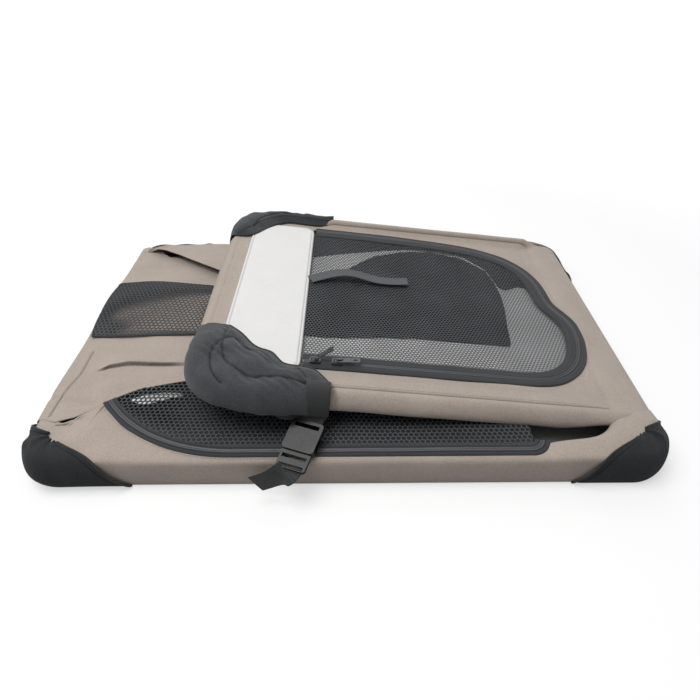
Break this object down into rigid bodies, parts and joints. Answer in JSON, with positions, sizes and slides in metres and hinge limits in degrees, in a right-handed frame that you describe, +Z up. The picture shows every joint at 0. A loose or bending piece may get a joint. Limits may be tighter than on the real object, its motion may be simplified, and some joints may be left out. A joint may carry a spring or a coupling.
{
  "type": "soft folding dog crate",
  "caption": "Soft folding dog crate, folded flat: cloth over hinged steel end frames, a zipped mesh door, a mesh pocket, puffed corner caps and side-release straps.",
  "frame": {"origin": "centre of the floor board's underside, which rests on the floor", "axes": "+X along the crate's length from the lower frame's hinges to the upper frame's hinges, +Y from the side with the long zip to the other, +Z up"},
  "size_m": [0.6636, 0.5248, 0.1037],
  "materials": {
    "taupe_cloth": "woven, matte",
    "black_cloth": "woven, matte, puffed at the caps",
    "mesh_cloth": "open mesh, matte",
    "cream_cloth": "smooth cloth, matte",
    "zip_tape": "knitted tape with a moulded coil",
    "tie_webbing": "soft tape, matte",
    "webbing": "ribbed webbing",
    "painted_steel_tube": "satin",
    "hinge_plastic": "satin",
    "pin_steel": "plated",
    "buckle_plastic": "semi gloss",
    "slider_metal": "gloss",
    "floor_board": "cloth-covered board"
  },
  "bodies": {
    "base": {"floor_panel": "floor_board", "base_tube": "painted_steel_tube", "base_band": "taupe_cloth", "base_cap_front_left": "black_cloth", "base_cap_front_right": "black_cloth", "base_cap_back_left": "black_cloth", "base_cap_back_right": "black_cloth", "upper_bracket_front": "hinge_plastic", "upper_bracket_back": "hinge_plastic", "upper_pin_front": "pin_steel", "upper_pin_back": "pin_steel", "lower_bracket_front": "hinge_plastic", "lower_bracket_back": "hinge_plastic", "lower_pin_front": "pin_steel", "lower_pin_back": "pin_steel", "left_apron": "taupe_cloth", "right_apron": "taupe_cloth", "front_side_wall": "taupe_cloth", "front_side_mesh": "mesh_cloth", "front_side_zip": "zip_tape", "back_side_wall": "taupe_cloth"},
    "upper_frame": {"upper_frame_tube": "painted_steel_tube", "upper_eye_front": "hinge_plastic", "upper_eye_back": "hinge_plastic", "upper_end_wall": "taupe_cloth", "door_zip_track": "zip_tape", "cream_panel": "cream_cloth", "top_cap_front": "black_cloth", "top_cap_back": "black_cloth", "roof_panel": "taupe_cloth", "strap_root_front": "webbing", "strap_root_back": "webbing", "zip_slider_a": "slider_metal"},
    "lower_frame": {"lower_frame_tube": "painted_steel_tube", "lower_eye_front": "hinge_plastic", "lower_eye_back": "hinge_plastic", "lower_end_wall": "taupe_cloth", "mesh_pocket": "mesh_cloth"},
    "door": {"door_mesh": "mesh_cloth", "door_zip_tape": "zip_tape", "tie_strap": "tie_webbing"},
    "slider_b": {"zip_slider_b": "slider_metal"},
    "pull_a": {"zip_pull_a": "slider_metal"},
    "pull_b": {"zip_pull_b": "slider_metal"},
    "front_strap": {"strap_web_front": "webbing", "buckle_body_front": "buckle_plastic"},
    "front_plug": {"buckle_plug_front": "buckle_plastic", "strap_tail_front": "webbing"},
    "back_strap": {"strap_web_back": "webbing", "buckle_body_back": "buckle_plastic"},
    "back_plug": {"buckle_plug_back": "buckle_plastic", "strap_tail_back": "webbing"}
  },
  "joints": [
    {"name": "upper_frame_fold", "type": "hinge", "parent": "base", "child": "upper_frame", "pos_m": [0.305, 0, 0.031], "axis": [0, 1, 0], "range_deg": [0, 83], "deforming": ["front_side_wall", "front_side_mesh", "front_side_zip", "back_side_wall", "right_apron", "left_apron", "roof_panel"]},
    {"name": "lower_frame_fold", "type": "hinge", "parent": "base", "child": "lower_frame", "pos_m": [-0.305, 0, 0.0235], "axis": [0, -1, 0], "range_deg": [0, 37]},
    {"name": "door_swing", "type": "hinge", "parent": "upper_frame", "child": "door", "pos_m": [-0.04605, 0, 0.08525], "axis": [0, -1, 0], "range_deg": [0, 150]},
    {"name": "slider_b_slide", "type": "slide", "parent": "upper_frame", "child": "slider_b", "axis": [0.993, 0, -0.1184], "range_m": [0, 0.208]},
    {"name": "pull_a_swing", "type": "hinge", "parent": "upper_frame", "child": "pull_a", "pos_m": [-0.03272, -0.132, 0.08718], "axis": [0, -1, 0], "range_deg": [-18, 95]},
    {"name": "pull_b_swing", "type": "hinge", "parent": "slider_b", "child": "pull_b", "pos_m": [-0.00889, -0.132, 0.08434], "axis": [0, -1, 0], "range_deg": [0, 85]},
    {"name": "front_strap_hang", "type": "hinge", "parent": "upper_frame", "child": "front_strap", "pos_m": [-0.03, -0.1887, 0.05937], "axis": [0, -1, 0], "range_deg": [0, 83]},
    {"name": "back_strap_hang", "type": "hinge", "parent": "upper_frame", "child": "back_strap", "pos_m": [-0.03, 0.2127, 0.05937], "axis": [0, -1, 0], "range_deg": [0, 83]},
    {"name": "front_release", "type": "slide", "parent": "front_strap", "child": "front_plug", "axis": [-0.34, -0.9068, -0.2494], "range_m": [0, 0.018]},
    {"name": "back_release", "type": "slide", "parent": "back_strap", "child": "back_plug", "axis": [-0.291, 0.8246, -0.4851], "range_m": [0, 0.018]}
  ],
  "couplings": [
    {"joint": "lower_frame_fold", "follows": "upper_frame_fold", "ratio": 0.44},
    {"joint": "front_strap_hang", "follows": "upper_frame_fold", "ratio": 1},
    {"joint": "back_strap_hang", "follows": "upper_frame_fold", "ratio": 1}
  ]
}
